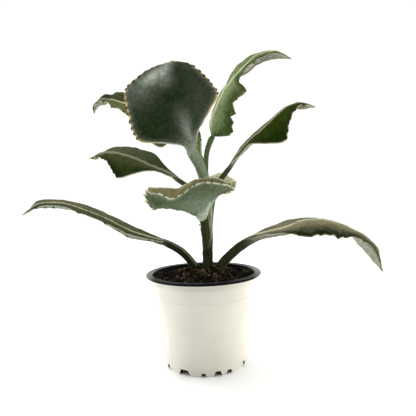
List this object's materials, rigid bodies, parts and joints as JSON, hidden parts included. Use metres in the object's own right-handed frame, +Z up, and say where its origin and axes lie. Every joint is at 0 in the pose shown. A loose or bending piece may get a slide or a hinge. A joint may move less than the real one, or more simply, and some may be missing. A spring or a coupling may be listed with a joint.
{
  "type": "potted variegated felt bush",
  "caption": "Young felt bush with a woolly upright stem and broad, toothed, felt-like leaves with pale edges, growing from soil in a small round nursery pot with a flared rim.",
  "frame": {"origin": "middle of the whole object's footprint (leaves included), on the surface that the pot stands on", "axes": "+Z up, +X to the right as seen from the front, +Y away from the viewer, so the front faces -Y"},
  "size_m": [0.3344, 0.191, 0.2741],
  "materials": {
    "pot_plastic": "thin satin white plastic outside, glossy black plastic on the inside and on the rim",
    "soil": "rough, moist peat and coir mix with brown fibre clumps",
    "stem": "dark brown-green bark under short pale felt",
    "leaf": "felted, olive above and silvery grey-green below, with cream edges and brown tooth tips",
    "bud_leaf": "finely felted, bright yellow-green"
  },
  "bodies": {
    "root": {"pot": "pot_plastic", "soil": "soil", "main_stem": "stem", "leaf_low_left": "leaf", "leaf_low_right": "leaf", "leaf_front_low": "leaf", "leaf_back_low": "leaf", "leaf_mid_left": "leaf", "leaf_mid_right": "leaf", "leaf_front_high": "leaf", "leaf_top_left": "leaf", "leaf_top_right": "leaf", "bud_leaf_left": "bud_leaf", "bud_leaf_right": "bud_leaf"}
  },
  "joints": []
}
